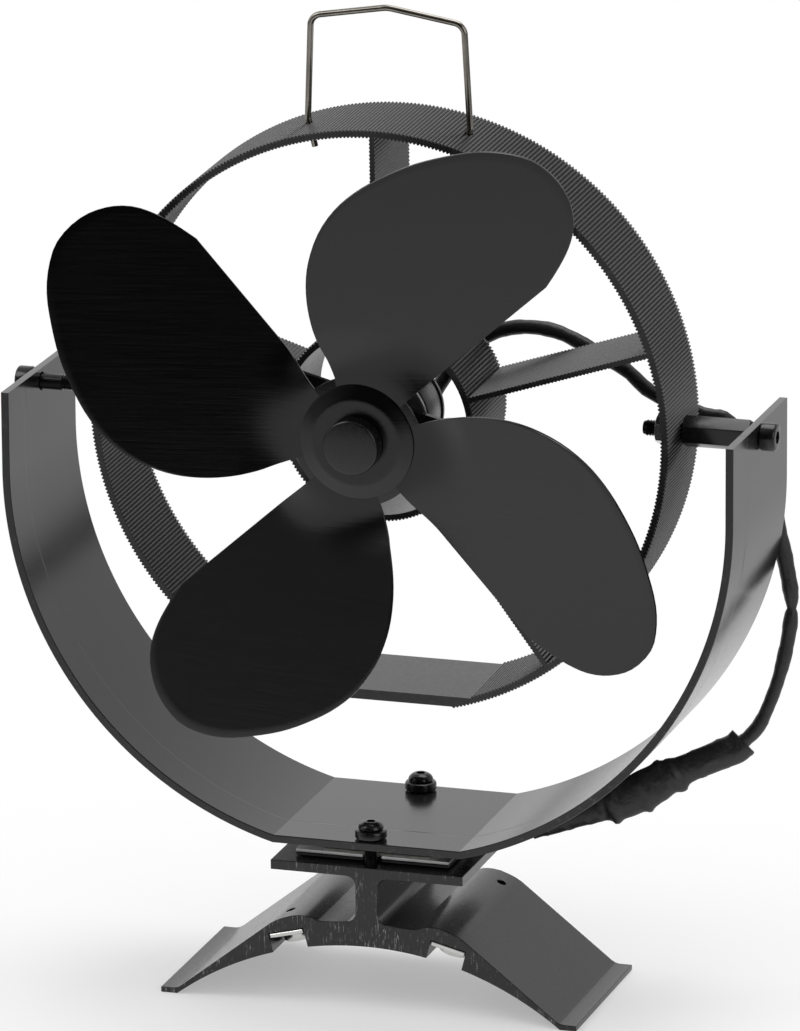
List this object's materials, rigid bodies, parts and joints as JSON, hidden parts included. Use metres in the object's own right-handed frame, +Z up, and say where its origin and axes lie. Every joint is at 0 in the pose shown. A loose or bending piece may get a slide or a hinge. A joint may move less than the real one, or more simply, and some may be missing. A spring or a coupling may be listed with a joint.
{
  "type": "heat powered stove fan",
  "caption": "Flue pipe fan: magnetic arched foot, bent yoke, tilting serrated heat sink ring with a motor, a twisted pressed propeller and a wire handle.",
  "frame": {"origin": "centre of the bounding box's bottom, without the free lead; z = 0 is the plane of the foot's two lips", "axes": "+Z up; the propeller faces -Y; X is the width, along the tilt axis"},
  "size_m": [0.1976, 0.0715, 0.2531],
  "materials": {
    "bare_aluminium": "bare",
    "black_anodised": "black anodised",
    "black_plastic": "satin",
    "black_sleeve": "satin sleeve",
    "black_steel": "black oxide",
    "blade_black": "dark grey coated sheet",
    "bright_steel": "bright",
    "graphite": "matt",
    "magnet_nickel": "nickel plated",
    "module_ceramic": "matt ceramic",
    "satin_anodised": "satin dark grey anodised",
    "terminal_brass": "bright"
  },
  "bodies": {
    "stand": {"foot": "black_anodised", "keeper_right": "bright_steel", "magnet_right_front": "magnet_nickel", "magnet_right_rear": "magnet_nickel", "keeper_left": "bright_steel", "magnet_left_front": "magnet_nickel", "magnet_left_rear": "magnet_nickel", "graphite_sheet": "graphite", "spreader_plate": "bare_aluminium", "thermoelectric_module": "module_ceramic", "yoke": "satin_anodised", "clamp_bush_front": "black_plastic", "clamp_screw_front": "black_steel", "clamp_bush_rear": "black_plastic", "clamp_screw_rear": "black_steel", "lead_slack": "black_sleeve", "lead_tail": "black_sleeve", "lead_splice": "black_sleeve"},
    "head": {"heat_sink_ring": "black_anodised", "handle": "bright_steel", "standoff_right": "black_steel", "pivot_washer_right": "bright_steel", "pivot_nut_right": "bright_steel", "pivot_bolt_right": "black_steel", "standoff_left": "black_steel", "pivot_washer_left": "bright_steel", "pivot_nut_left": "bright_steel", "pivot_bolt_left": "black_steel", "motor_can": "bright_steel", "motor_end_cap": "black_plastic", "motor_terminal_right": "terminal_brass", "motor_terminal_left": "terminal_brass", "motor_bracket": "black_steel", "lead_head": "black_sleeve"},
    "rotor": {"fan_blade": "blade_black", "hub_collar": "black_steel", "hub_dish": "blade_black", "hub_nut": "black_plastic", "motor_shaft": "bright_steel"}
  },
  "joints": [
    {"name": "head_tilt", "type": "hinge", "parent": "stand", "child": "head", "pos_m": [0, 0.0081, 0.15], "axis": [-1, 0, 0], "range_deg": [-45, 90]},
    {"name": "rotor_spin", "type": "hinge", "parent": "head", "child": "rotor", "pos_m": [0, 0.0081, 0.15], "axis": [0, -0.9996, -0.0279], "continuous": true}
  ]
}
